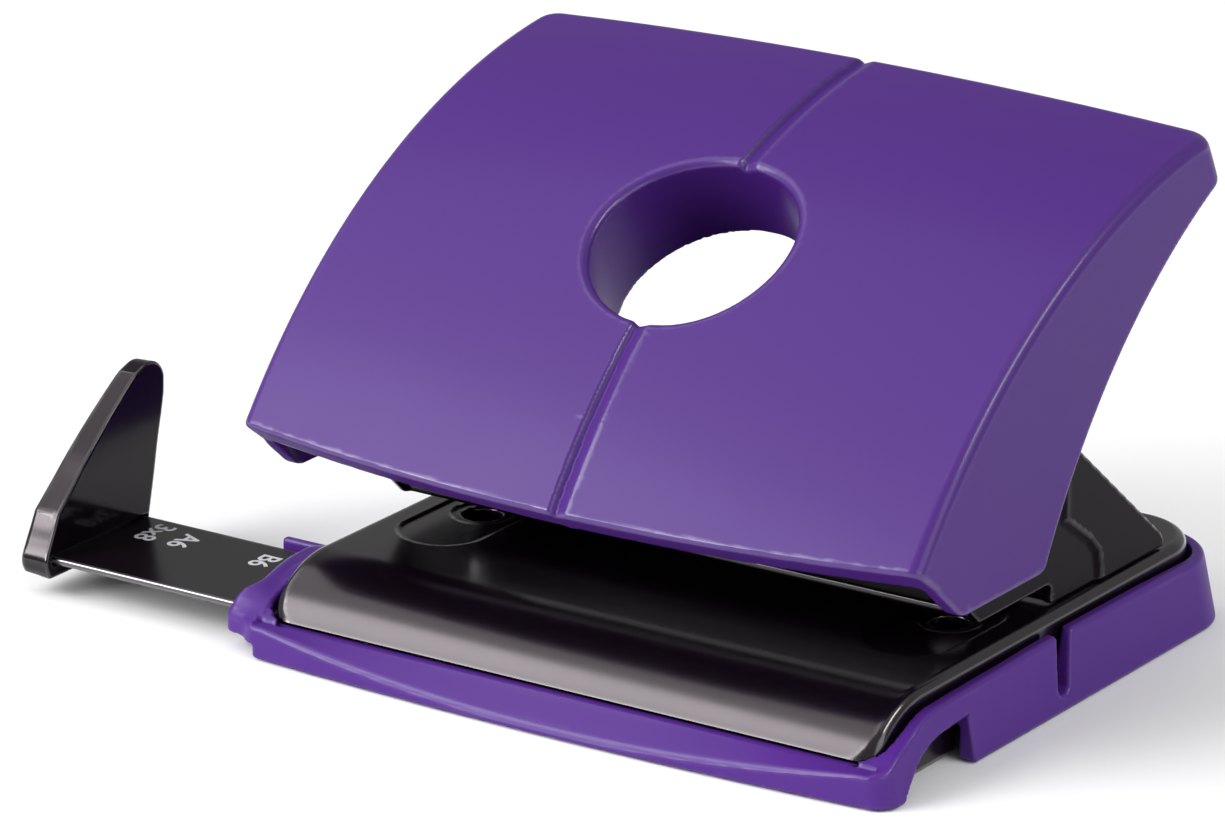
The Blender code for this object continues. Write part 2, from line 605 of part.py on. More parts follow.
def build_tray():
    tray = place("chip_tray", extruded(tray_plan(), "Z", 0, TRAY_TOP), (PURPLE, 0.38, 0))
    for name, side in (("left", -1), ("right", 1)):
        slope = TRAY_LEAN / TRAY_TOP
        wedge = [(TRAY_X + slope, -1), (TRAY_X + 6, -1), (TRAY_X + 6, 12), (TRAY_X - 12 * slope, 12)]
        wedge = [(side * x, z) for x, z in wedge]
        cut(tray, place(f"{name}_lean", extruded(wedge, "Y", -60, 70), None))

    plan = rounded_rectangle(INNER_LEFT, INNER_RIGHT, -36.8, CAVITY_REAR, 2.0, 9.8)
    cut(tray, place("tray_cavity", extruded(plan, "Z", FLOOR, 30), None))
    plan = rounded_rectangle(INNER_LEFT, INNER_RIGHT, LEDGE_FRONT, 0, 2.8, 1.0)
    cut(tray, place("plate_seat", extruded(plan, "Z", LEDGE_Z, 30), None))

    # The side walls step down to the ledge at the front in a smooth curve.
    step = [(-60, LEDGE_Z), (-38.0, LEDGE_Z)]
    for i in range(1, 9):
        share = i / 8
        eased = share * share * (3 - 2 * share)
        step.append((-37.5 + 11.5 * share, LEDGE_Z + (TRAY_TOP + 0.05 - LEDGE_Z) * eased))
    step += [(-26, 30), (-60, 30)]
    cut(tray, place("front_step", extruded(step, "X", -70, 70), None))
    cut(tray, place("left_wall_trim", block(-70, -48.5, -70, 70, LEFT_TOP, 30), None))

    rings = []
    for i in range(25):
        x = -60 + 5 * i
        slope = (LEDGE_Z - crescent_height(x)) / (LEDGE_FRONT - tray_front(min(50, abs(x))))
        far = -55.0
        rings.append([
            (x, LEDGE_FRONT, LEDGE_Z), (x, LEDGE_FRONT, 20), (x, far, 20),
            (x, far, LEDGE_Z - slope * (LEDGE_FRONT - far)),
        ])
    cut(tray, place("crescent", lofted(rings), None))

    # The ear that leads the rail, and the finger behind it.
    overhang = block(-70, -52.4, -60, -31.0, -5, EAR_BOTTOM)
    cut(tray, place("corner_undercut", overhang, None))
    shelf = block(EAR_X, EAR_ROOT - 0.1, EAR_FRONT + 0.1, EAR_REAR - 0.1, EAR_BOTTOM, EAR_SHELF + 0.9)
    join(tray, place("ear_shelf", shelf, None))
    rings = []
    for y, outer, top, inner_top in EAR_STATIONS:
        rings.append([
            (EAR_ROOT, y, EAR_SHELF), (EAR_X, y, EAR_SHELF), (EAR_X, y, EAR_CREASE),
            (outer - 0.1, y, top - 0.9), (outer + 0.8, y, top), (EAR_ROOT, y, inner_top - 0.02),
        ])
    join(tray, place("ear", lofted(rings), None))
    finger = block(-67.2, -57, EAR_REAR - 1.5, EAR_REAR - 0.05, 3.2, 6.9)
    join(tray, place("rail_finger", finger, None))

    # Right wall: an arch for the finger and a slot beside it, so the wall between them can flex.
    cut(tray, place("latch_arch", extruded(LATCH_ARCH, "X", 47, 70), None))
    slot = [(8.0, TRAY_TOP + 5), (5.7, 3.2), (6.2, 2.4), (7.6, 2.2), (8.4, 2.9), (12.0, TRAY_TOP + 5)]
    cut(tray, place("latch_slot", extruded(slot, "X", INNER_RIGHT - 1, 70), None))
    cut(tray, place("latch_window", block(42, 52.5, -31.2, -3, -5, 5), None))

    # Left wall: the way out for the rail.
    rail_way = block(-70, -50, RAIL_FRONT - 0.4, RAIL_REAR + GAP, 4.3, 6.2)
    cut(tray, place("rail_way", rail_way, None))

    # Bosses for the rail guide, and the hooks that the base plate turns on.
    for row, x in enumerate(GUIDE_SCREWS_X):
        boss = rod(2.5, 4.9, (x, GUIDE_SCREW_Y, 3.2), segments=16)
        join(tray, place(f"tray_boss_{row}", boss, None))
        bore = rod(1.2, 5, (x, GUIDE_SCREW_Y, 4.1), segments=12)
        cut(tray, place(f"tray_boss_bore_{row}", bore, None))
    for row, y in enumerate(HOOK_ROWS):
        hook = rod(0.8, 2 * HOOK_HALF, (HINGE_X, y, HINGE_Z), (0, 1, 0), 12)
        root = block(-53.0, HINGE_X, y - HOOK_HALF, y + HOOK_HALF, HINGE_Z - 0.8, HINGE_Z + 0.5)
        join(tray, place(f"hook_{row}", hook, None), place(f"hook_root_{row}", root, None))
    return tray


GUIDE_SCREWS_X, GUIDE_SCREW_Y = (-44.0, -27.0), -8.8
LATCH_ARCH = (
    (-17.6, -5), (-17.6, 6.8), (-21.5, 6.6), (-25.0, 6.3), (-27.4, 5.9), (-30.2, 4.8), (-32.0, 3.5),
    (-33.8, 1.9), (-35.4, 0.0), (-36.0, -5),
)


def build_rail_guide():
    top = RAIL_TOP + GAP + 1.2
    guide = place("rail_guide", block(-49, -21.5, -31, -5.4, RAIL_TOP + GAP, top), (BLACK, 0.45, 0))
    for x in (-48.9, -23.1):
        leg = block(x, x + 1.5, RAIL_REAR + GAP + 0.1, -5.5, FLOOR + GAP, 6.5)
        join(guide, place(f"guide_leg_{int(-x)}", leg, None))
    leg = block(-48.8, -21.7, RAIL_REAR + GAP, RAIL_REAR + 1.4, FLOOR + GAP + 0.1, 6.6)
    join(guide, place("guide_wall", leg, None))
    made = [guide]
    for row, x in enumerate(GUIDE_SCREWS_X):
        hole = rod(1.4, 6, (x, GUIDE_SCREW_Y, 7), segments=12)
        cut(guide, place(f"guide_hole_{row}", hole, None))
        name = f"rail_guide_screw_{row + 1}"
        screw = place(name, rod(0.95, 6.4, (x, GUIDE_SCREW_Y, 5.4), segments=12), (STEEL, 0.3, 1))
        head = rod(2.2, 1.1, (x, GUIDE_SCREW_Y, top + GAP + 0.55), segments=16)
        join(screw, place(f"{name}_head", head, None))
        made.append(screw)
    return made


def build_rail_spring():
    """A leaf spring on the tray floor whose hump clicks into the rail's grooves."""
    line = [(-46, 1.75), (-42, 1.75)]
    line += [(-38, 2.3), (-35.2, 3.9), (-34.5, 4.25), (-33.8, 3.9), (-31, 2.3), (-28, 1.9)]
    outline = [(x, z + 0.3) for x, z in line] + [(x, z) for x, z in reversed(line)]
    bm = extruded(outline, "Y", -28, -21)
    return place("rail_spring", bm, (STEEL, 0.3, 1))


# ---------------------------------------------------------------- paper stop

def build_rail():
    low = RAIL_TOP - RAIL_SHEET
    bm = block(FENCE_X - 4.0, RAIL_INNER_END, RAIL_FRONT, RAIL_REAR, low, RAIL_TOP)
    rail = place("stop_rail", bm, (BLACK, 0.15, 0.4))
    spring_x = -34.5
    for row, stop in enumerate(FORMAT_STOPS):
        x = spring_x + (stop + FENCE_X)
        if x < RAIL_INNER_END - 3:
            groove = block(x - 0.7, x + 0.7, -29, -20, low - 1, low + 0.35)
            cut(rail, place(f"rail_groove_{row}", groove, None))
    return rail


def rim_depth(z):
    """Depth of the fence's rim, read between the heights in FENCE_DEPTHS."""
    for (low, deep), (high, shallow) in zip(FENCE_DEPTHS, FENCE_DEPTHS[1:]):
        if z <= high:
            return deep + (shallow - deep) * max(0.0, z - low) / (high - low)
    return FENCE_DEPTHS[-1][1]


def shrunk(line, distance):
    """A closed outline moved inwards by a distance; the points run clockwise."""
    moved = []
    for i, (y, z) in enumerate(line):
        before, after = Vector(line[i - 1]), Vector(line[(i + 1) % len(line)])
        here = Vector((y, z))
        first, second = (here - before).normalized(), (after - here).normalized()
        inward = Vector((first.y + second.y, -first.x - second.x)).normalized()
        stretch = 1 / max(0.5, inward.dot(Vector((first.y, -first.x))))
        moved.append(tuple(here + inward * distance * stretch))
    return moved


def build_fence():
    """The triangular stop: a flat plate with a rim on its outer side, deepest at the foot."""
    edge = shrunk(FENCE_LINE, 0.25)
    near = [(FENCE_X, y, z) for y, z in FENCE_LINE]
    far = [(FENCE_X - rim_depth(z), y, z) for y, z in edge]
    fence = place("stop_fence", lofted([near, far]), (BLACK, 0.12, 0))
    hollow = extruded(shrunk(FENCE_CORE, FENCE_WALL), "X", FENCE_X - 9, FENCE_X - FENCE_PLATE)
    cut(fence, place("fence_hollow", hollow, None))
    slot = block(
        FENCE_X - 9, FENCE_X + 5, RAIL_FRONT - GAP, RAIL_REAR + GAP,
        RAIL_TOP - RAIL_SHEET - GAP, RAIL_TOP + GAP,
    )
    cut(fence, place("fence_slot", slot, None))
    return fence


# ---------------------------------------------------------------- assembly

def pivot(name, x, y, z):
    empty = bpy.data.objects.new(name, None)
    empty.empty_display_size = 10 * MM
    empty.location = (x * MM, y * MM, z * MM)
    parts.objects.link(empty)
    return empty


def hang(parent, *children):
    """Parents the children without moving them."""
    bpy.context.view_layer.update()
    for child in children:
        child.parent = parent
        child.matrix_parent_inverse = parent.matrix_world.inverted()


def build():
    build_tray()
    build_rail_guide()
    build_rail_spring()
    unit = pivot("unit_hinge", HINGE_X, 0, HINGE_Z)
    handle = pivot("handle_hinge", 0, AXLE_Y, AXLE_Z)
    hang(unit, build_base_plate(), build_frame(), build_upper_guide(), *build_rivets(), *build_axle())
    hang(unit, handle)
    hang(handle, build_handle(), *build_lever())
    for side in (-1, 1):
        word = "left" if side < 0 else "right"
        slide = pivot(f"pin_slide_{word}", side * HOLE_X, 0, PIN_TOP)
        hang(unit, slide)
        hang(slide, *build_pin(side))
        hang(unit, build_spring(side))
    rail = pivot("rail_slide", FENCE_X, (RAIL_FRONT + RAIL_REAR) / 2, RAIL_TOP)
    hang(rail, build_rail(), build_fence())


build()
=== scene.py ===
"""The looks of the two-hole desk punch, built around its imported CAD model.

The large mouldings and pressings are skins: each is described by a distance field in millimetres,
negative inside, so that its edges, beads and fillets have true radii. skin() turns a field into a mesh.
"""
import math

import bmesh
import bpy
import numpy as np
from mathutils import Matrix, Vector


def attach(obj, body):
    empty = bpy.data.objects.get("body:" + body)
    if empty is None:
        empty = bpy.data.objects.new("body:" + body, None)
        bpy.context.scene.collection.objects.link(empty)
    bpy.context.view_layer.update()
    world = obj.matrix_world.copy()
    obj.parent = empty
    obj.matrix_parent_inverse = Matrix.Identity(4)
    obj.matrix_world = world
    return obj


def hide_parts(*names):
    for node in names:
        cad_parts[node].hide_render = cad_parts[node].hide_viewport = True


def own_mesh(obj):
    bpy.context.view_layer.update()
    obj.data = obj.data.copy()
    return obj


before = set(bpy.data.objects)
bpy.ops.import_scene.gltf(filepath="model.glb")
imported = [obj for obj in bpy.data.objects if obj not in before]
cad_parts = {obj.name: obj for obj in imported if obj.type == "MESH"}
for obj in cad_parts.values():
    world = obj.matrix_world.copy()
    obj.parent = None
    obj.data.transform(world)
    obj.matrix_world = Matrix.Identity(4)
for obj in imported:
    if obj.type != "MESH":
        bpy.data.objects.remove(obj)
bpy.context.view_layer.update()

MM = 0.001

# ---------------------------------------------------------------- driving dimensions, in millimetres

HOLE_X = 40.0
PIN_RADIUS = 2.75

HANDLE_X = 57.0
BARREL_Y, BARREL_Z, BARREL_R = 50.7, -31.1, 110.0
CROWN, BOW = 2.2, 1.8
FRONT_ANGLE, REAR_ANGLE = 55.2, 5.3
WALL = 2.2
RING_Y, RING_Z, RING_TILT, RING_DEPTH = -5.35, 62.7, math.radians(30.9), 14.6
SKIRT_BOTTOM = 23.8

PLATE_X, PLATE_TOP, PLATE_REAR = 51.2, 12.8, 54.4
PILLOW_Y, PILLOW_RADIUS = -25.0, 14.66
SHEET = 1.2

CHEEK_X, SLOT_TOP, SLOT_END = 50.2, 16.2, 12.0
AXLE_Y, AXLE_Z = -14.0, 33.0

TRAY_X, TRAY_REAR, LEDGE_Z = 55.3, 57.4, 4.8
INNER_LEFT, INNER_RIGHT, CAVITY_REAR = -51.8, 51.6, 54.7
SIDE_LEAN, REAR_LEAN = 0.176, 0.088
LEDGE_FRONT = -38.3

RAIL_TOP, RAIL_FRONT, RAIL_REAR = 5.7, -35.9, -13.5
FENCE_X, FENCE_PLATE, FENCE_WALL = -91.3, 2.0, 1.5


# ---------------------------------------------------------------- distance fields

def both(a, b, radius=0.0):
    """Where two fields overlap, with the edge between them rounded.

    The radius may vary from place to place.
    """
    corner = np.hypot(np.maximum(a + radius, 0), np.maximum(b + radius, 0))
    return np.minimum(np.maximum(a, b), -radius) + corner


def either(a, b, radius=0.0):
    return -both(-a, -b, radius)


def without(a, b, radius=0.0):
    return both(a, -b, radius)


def fade(value, full, none):
    """1 at full, 0 at none, smooth in between."""
    share = np.clip((value - none) / (full - none), 0, 1)
    return share * share * (3 - 2 * share)


def brick(x, y, z, low, high, radius=0.0):
    """An upright box with rounded edges."""
    far = []
    for value, a, b in zip((x, y, z), low, high):
        far.append(np.abs(value - (a + b) / 2) - ((b - a) / 2 - radius))
    outside = np.sqrt(sum(np.maximum(d, 0) ** 2 for d in far))
    inside = np.minimum(np.maximum(np.maximum(far[0], far[1]), far[2]), 0)
    return outside + inside - radius


def plan_box(x, y, low, high, front_radius, rear_radius):
    """A rectangle seen from above, with its own corner radius at the front and at the back."""
    middle = ((low[0] + high[0]) / 2, (low[1] + high[1]) / 2)
    radius = np.where(y < middle[1], front_radius, rear_radius)
    across = np.abs(x - middle[0]) - (high[0] - low[0]) / 2 + radius
    along = np.abs(y - middle[1]) - (high[1] - low[1]) / 2 + radius
    corner = np.hypot(np.maximum(across, 0), np.maximum(along, 0))
    return corner + np.minimum(np.maximum(across, along), 0) - radius


def arc(centre, radius, start, end, steps):
    """Points on a circle from one angle to another, in degrees."""
    angles = [math.radians(start + (end - start) * i / steps) for i in range(steps + 1)]
    return [(centre[0] + radius * math.cos(a), centre[1] + radius * math.sin(a)) for a in angles]


def outline(points, u, v):
    """Signed distance to a closed outline."""
    nearest = np.full(np.broadcast(u, v).shape, 1e9)
    inside = np.zeros(nearest.shape, bool)
    for (u0, v0), (u1, v1) in zip(points, points[1:] + points[:1]):
        du, dv = u1 - u0, v1 - v0
        share = np.clip(((u - u0) * du + (v - v0) * dv) / (du * du + dv * dv), 0, 1)
        nearest = np.minimum(nearest, np.hypot(u - u0 - share * du, v - v0 - share * dv))
        if dv:
            crossed = (v0 > v) != (v1 > v)
            inside ^= crossed & (u < u0 + (v - v0) * du / dv)
    return np.where(inside, -nearest, nearest)


# ---------------------------------------------------------------- from a field to a mesh

# The "edge" attribute rises from 0 to 1 over this span of curvature, in one over millimetres.
EDGE_FROM, EDGE_SPAN = 0.25, 0.6


def net(field, low, high, step):
    """Naive surface nets: a vertex in each cell that the surface crosses, a quad on each crossed edge."""
    axes = [np.arange(a - step, b + 2 * step, step) for a, b in zip(low, high)]
    grid = field(axes[0][:, None, None], axes[1][None, :, None], axes[2][None, None, :])
    grid = np.broadcast_to(grid, [len(a) for a in axes])
    inside = grid < 0
    cells = [n - 1 for n in grid.shape]

    def corner(values, i, j, k):
        return values[i:i + cells[0], j:j + cells[1], k:k + cells[2]]

    corners = [(i, j, k) for i in (0, 1) for j in (0, 1) for k in (0, 1)]
    count = sum(corner(inside, *c).astype(np.int8) for c in corners)
    crossed = np.argwhere((count > 0) & (count < 8))
    number = np.full(cells, -1)
    number[tuple(crossed.T)] = np.arange(len(crossed))
    total = np.zeros((len(crossed), 3))
    hits = np.zeros(len(crossed))
    for a in corners:
        for axis in range(3):
            if a[axis]:
                continue
            b = tuple(a[n] + (n == axis) for n in range(3))
            va = grid[tuple((crossed + a).T)]
            vb = grid[tuple((crossed + b).T)]
            hit = (va < 0) != (vb < 0)
            share = np.where(hit, va / np.where(hit, va - vb, 1), 0)
            place = np.array(a) + share[:, None] * (np.array(b) - a)
            total += place * hit[:, None]
            hits += hit
    points = (crossed + total / hits[:, None]) * step + [a[0] for a in axes]

    quads = []
    for axis in range(3):
        u, v = [(1, 2), (2, 0), (0, 1)][axis]
        low_part = np.take(inside, range(grid.shape[axis] - 1), axis)
        high_part = np.take(inside, range(1, grid.shape[axis]), axis)
        edges = np.argwhere(low_part != high_part)
        edges = edges[(edges[:, u] > 0) & (edges[:, v] > 0)]
        around = []
        for du, dv in ((1, 1), (0, 1), (0, 0), (1, 0)):
            cell = edges.copy()
            cell[:, u] -= du
            cell[:, v] -= dv
            around.append(number[tuple(cell.T)])
        quad = np.stack(around, 1)
        flip = low_part[tuple(edges.T)]
        quad[~flip] = quad[~flip][:, ::-1]
        quads.append(quad)
    return points, np.concatenate(quads)


def slope(field, points, reach=0.02):
    """The field's gradient at each point."""
    sides = []
    for axis in range(3):
        step = np.zeros(3)
        step[axis] = reach
        ahead = field(*(points + step).T)
        behind = field(*(points - step).T)
        sides.append((ahead - behind) / (2 * reach))
    return np.stack(sides, 1)


def bend(field, points, reach=0.3):
    """How sharply the surface turns outwards at each point, as one over the radius."""
    total = -6.0 * field(*points.T)
    for axis in range(3):
        step = np.zeros(3)
        step[axis] = reach
        total = total + field(*(points + step).T) + field(*(points - step).T)
    return total / reach ** 2


def settle(field, points, step, rounds=3):
    """Moves points onto the field's surface."""
    for _ in range(rounds):
        gradient = slope(field, points)
        length = np.maximum((gradient ** 2).sum(1), 0.25)
        move = -field(*points.T)[:, None] * gradient / length[:, None]
        far = np.maximum(np.linalg.norm(move, axis=1) / (0.6 * step), 1)
        points = points + move / far[:, None]
    return points


def skin(name, field, low, high, step, keep=1.0):
    """A mesh object on a field's surface, with a share of its faces kept, and normals from the field."""
    points, quads = net(field, low, high, step)
    points = settle(field, points, step)
    mesh = bpy.data.meshes.new(name)
    mesh.from_pydata((points * MM).tolist(), [], quads.tolist())
    made = bpy.data.objects.new(name, mesh)
    bpy.context.scene.collection.objects.link(made)
    if keep < 1:
        fewer = made.modifiers.new("fewer_faces", "DECIMATE")
        fewer.ratio = keep
        evaluated = made.evaluated_get(bpy.context.evaluated_depsgraph_get())
        reduced = bpy.data.meshes.new_from_object(evaluated)
        made.modifiers.clear()
        made.data = reduced
        bpy.data.meshes.remove(mesh)
        mesh = reduced
        mesh.name = name
    count = len(mesh.vertices)
    flat = np.empty(count * 3)
    mesh.vertices.foreach_get("co", flat)
    points = settle(field, flat.reshape(-1, 3) / MM, step, 2)
    mesh.vertices.foreach_set("co", (points * MM).ravel())
    mesh.shade_smooth()
    normals = slope(field, points, 0.15)
    normals /= np.maximum(np.linalg.norm(normals, axis=1), 1e-9)[:, None]
    mesh.normals_split_custom_set_from_vertices(normals.tolist())
    edge = mesh.attributes.new("edge", "FLOAT", "POINT")
    sharpness = np.clip((bend(field, points) - EDGE_FROM) / EDGE_SPAN, 0, 1)
    edge.data.foreach_set("value", sharpness.astype(np.float32))
    mesh.update()
    return made


# ---------------------------------------------------------------- materials

class Nodes:
    """Short-hand for building one material's node tree around a Principled shader."""

    def __init__(self, name):
        self.material = bpy.data.materials.new(name)
        self.material.use_nodes = True
        self.tree = self.material.node_tree
        self.shader = self.tree.nodes["Principled BSDF"]
        self.place = self.add("ShaderNodeTexCoord").outputs["Object"]

    def add(self, kind, **settings):
        node = self.tree.nodes.new(kind)
        for key, value in settings.items():
            setattr(node, key, value)
        return node

    def link(self, source, target):
        self.tree.links.new(source, target)

    def noise(self, scale, detail=3.0, roughness=0.5, stretch=None):
        source = self.place
        if stretch:
            mapping = self.add("ShaderNodeMapping")
            mapping.inputs["Scale"].default_value = stretch
            self.link(source, mapping.inputs["Vector"])
            source = mapping.outputs["Vector"]
        node = self.add("ShaderNodeTexNoise")
        node.inputs["Scale"].default_value = scale
        node.inputs["Detail"].default_value = detail
        node.inputs["Roughness"].default_value = roughness
        self.link(source, node.inputs["Vector"])
        return node.outputs["Fac"]

    def ramp(self, source, low, high, start=0.0, end=1.0):
        """Maps a value to between low and high."""
        node = self.add("ShaderNodeMapRange")
        node.inputs["From Min"].default_value = start
        node.inputs["From Max"].default_value = end
        node.inputs["To Min"].default_value = low
        node.inputs["To Max"].default_value = high
        self.link(source, node.inputs["Value"])
        return node.outputs["Result"]

    def blend(self, factor, first, second):
        """Mixes two colours; each is a tuple or a socket."""
        node = self.add("ShaderNodeMix", data_type="RGBA")
        self.link(factor, node.inputs["Factor"])
        for value, socket in ((first, node.inputs["A"]), (second, node.inputs["B"])):
            if isinstance(value, tuple):
                socket.default_value = (*value, 1.0)
            else:
                self.link(value, socket)
        return node.outputs["Result"]

    def bump(self, height, strength, distance):
        node = self.add("ShaderNodeBump")
        node.inputs["Strength"].default_value = strength
        node.inputs["Distance"].default_value = distance
        self.link(height, node.inputs["Height"])
        previous = self.shader.inputs["Normal"]
        if previous.is_linked:
            self.link(previous.links[0].from_socket, node.inputs["Normal"])
        self.link(node.outputs["Normal"], previous)

    def set(self, **values):
        for key, value in values.items():
            self.shader.inputs[key.replace("_", " ")].default_value = value
        return self


def moulded_plastic(name, colour, roughness, grain, edge_gloss=0.34, specular=0.21):
    """Satin moulding: even colour, faint smudges, a fine grain."""
    nodes = Nodes(name)
    broad = nodes.noise(28, 4)
    dark = tuple(c * 0.97 for c in colour)
    light = tuple(min(1.0, c * 1.03) for c in colour)
    nodes.link(nodes.blend(broad, dark, light), nodes.shader.inputs["Base Color"])
    smudge = nodes.noise(55, 5, 0.62)
    nodes.link(
        nodes.ramp(smudge, roughness - 0.012, roughness + 0.016, 0.3, 0.7),
        nodes.shader.inputs["Roughness"],
    )
    nodes.bump(nodes.noise(2600, 2), grain, 0.00004)
    edges = nodes.add("ShaderNodeAttribute", attribute_name="edge")
    nodes.link(nodes.ramp(edges.outputs["Fac"], 0.06, edge_gloss), nodes.shader.inputs["Coat Weight"])
    nodes.shader.inputs["Coat Roughness"].default_value = 0.20
    return nodes.set(Specular_IOR_Level=specular, IOR=1.49).material


def black_enamel(name, roughness, specular=0.5):
    """Baked enamel on pressed steel: nearly black with a brown cast, glossy, with faint orange peel."""
    nodes = Nodes(name)
    broad = nodes.noise(40, 4)
    colour = nodes.blend(broad, (0.0030, 0.0014, 0.0032), (0.0042, 0.0019, 0.0042))
    nodes.link(colour, nodes.shader.inputs["Base Color"])
    smudge = nodes.noise(70, 5, 0.6)
    nodes.link(
        nodes.ramp(smudge, roughness - 0.02, roughness + 0.03, 0.3, 0.7),
        nodes.shader.inputs["Roughness"],
    )
    nodes.bump(nodes.noise(420, 2), 0.06, 0.00004)
    nodes.shader.inputs["Specular Tint"].default_value = (1.0, 0.90, 0.95, 1.0)
    edges = nodes.add("ShaderNodeAttribute", attribute_name="edge")
    nodes.link(nodes.ramp(edges.outputs["Fac"], 0.0, 1.0), nodes.shader.inputs["Coat Weight"])
    nodes.shader.inputs["Coat Roughness"].default_value = 0.15
    return nodes.set(Specular_IOR_Level=specular, IOR=1.52).material


def coated_strip(name, roughness):
    """Black coated steel whose sheared edges are bare."""
    nodes = Nodes(name)
    edge = nodes.add("ShaderNodeAttribute", attribute_name="edge").outputs["Fac"]
    colour = nodes.blend(edge, (0.0036, 0.0018, 0.0036), (0.22, 0.21, 0.22))
    nodes.link(colour, nodes.shader.inputs["Base Color"])
    nodes.link(edge, nodes.shader.inputs["Metallic"])
    smudge = nodes.noise(70, 5, 0.6)
    nodes.link(
        nodes.ramp(smudge, roughness - 0.02, roughness + 0.03, 0.3, 0.7),
        nodes.shader.inputs["Roughness"],
    )
    return nodes.set(Specular_IOR_Level=0.28, IOR=1.52).material


def bright_steel(name, colour, roughness, stretch=None):
    nodes = Nodes(name)
    streak = nodes.noise(900, 4, 0.6, stretch)
    tint = nodes.blend(streak, tuple(c * 0.82 for c in colour), colour)
    nodes.link(tint, nodes.shader.inputs["Base Color"])
    nodes.link(nodes.ramp(streak, roughness - 0.06, roughness + 0.08), nodes.shader.inputs["Roughness"])
    nodes.bump(streak, 0.15, 0.00003)
    return nodes.set(Metallic=1.0).material


PURPLE = (0.052, 0.0110, 0.152)
FINISHES = {
    "handle": moulded_plastic("purple_satin_plastic", PURPLE, 0.44, 0.15, 0.80),
    "tray": moulded_plastic("purple_tray_plastic", tuple(1.25 * c for c in PURPLE), 0.46, 0.20),
    "dark_plastic": moulded_plastic("black_moulded_plastic", (0.010, 0.0095, 0.010), 0.40, 0.30),
    "gloss": black_enamel("black_gloss_plastic", 0.12, 0.28),
    "enamel": black_enamel("black_baked_enamel", 0.20, 0.50),
    "frame": black_enamel("black_frame_enamel", 0.20, 0.07),
    "rail": coated_strip("black_coated_strip", 0.22),
    "print": moulded_plastic("white_print", (0.58, 0.58, 0.60), 0.50, 0.02),
    "zinc": bright_steel("zinc_plated_steel", (0.60, 0.61, 0.62), 0.32),
    "spring": bright_steel("spring_steel_wire", (0.56, 0.56, 0.57), 0.24),
    "ground": bright_steel("ground_steel", (0.66, 0.66, 0.68), 0.18, (1, 1, 14)),
}


def finish(piece, key, slot):
    piece.data.materials.clear()
    piece.data.materials.append(FINISHES[key])
    return piece


# ---------------------------------------------------------------- handle

def handle_field(x, y, z):
    """Curved shell with rounded edges, side skirts, a finger ring and a groove along its middle."""
    away = np.hypot(y - BARREL_Y, z - BARREL_Z)
    turned = np.arctan2(BARREL_Y - y, z - BARREL_Z)
    side = np.abs(x)
    share = (side / HANDLE_X) ** 2
    groove = 0.9 * np.where(x < -0.5, fade(x, -0.5, -1.4), np.clip((1.6 - x) / 2.1, 0, 1))
    top = away - (BARREL_R - CROWN * share - groove)
    front = (turned - np.radians(FRONT_ANGLE - BOW * share)) * BARREL_R
    front = front + 0.35 * np.clip(top + 6, -9, 0) * fade(side, 54.3, 51.3)
    rear = (np.radians(REAR_ANGLE - 0.227 * (BARREL_R - away)) - turned) * away
    sides = side - HANDLE_X
    body = both(both(top, both(sides, rear, 3.5), 1.9), front, 0.8)
    hollow = both(top + WALL + 0.9, sides + WALL, 1.0)
    hollow = both(both(hollow, front + WALL, 1.0), rear + WALL, 1.0)
    shell = without(body, hollow, 0.3)

    slant = -0.648 * (y + 35.6) - 0.762 * (z - 33.2)
    arch = 98.0 - np.hypot(y - 84.8, z + 20.3)
    skirt = both(both(both(SKIRT_BOTTOM - z, slant, 1.0), arch, 1.2), HANDLE_X - 2.5 - side, 0.3)
    rim = -(top + 5.5)
    shell = both(shell, either(skirt, rim, 1.2), 0.5)

    for row in (-7.0, 2.0):
        boss = np.hypot(side - 27.0, y - row) - 3.6
        shell = either(shell, both(both(boss, 42.4 - z, 0.3), top + 1.2), 0.8)
    rib = both(np.abs(side - 27.0) - 0.7, -(top + 7.5), 0.4)
    shell = either(shell, both(rib, both(top + 1.2, both(front + 4, rear + 4))), 0.5)
    cross = both(np.abs((turned - math.radians(14)) * away) - 0.7, -(top + 7.5), 0.4)
    shell = either(shell, both(cross, both(top + 1.2, sides + 1.2)), 0.5)

    rise = -math.sin(RING_TILT) * (y - RING_Y) + math.cos(RING_TILT) * (z - RING_Z)
    across = math.cos(RING_TILT) * (y - RING_Y) + math.sin(RING_TILT) * (z - RING_Z)
    radial = np.hypot(x, across)
    ring = both(both(radial - 17.6, -RING_DEPTH - rise, 0.6), top + 1.2)
    shell = either(shell, ring, 1.0)
    edge = 0.4 + 1.0 * fade(rise, -3.0, -RING_DEPTH)
    return without(shell, radial - 15.35, edge)


def build_handle():
    low, high = (-57.5, -42, 22.8), (57.5, 46, 79.5)
    handle = skin("curved_handle", handle_field, low, high, 0.55, 0.7)
    finish(handle, "handle", "handle_plastic")
    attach(handle, "handle")
    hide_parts("handle_shell")


# ---------------------------------------------------------------- base plate and punch frame

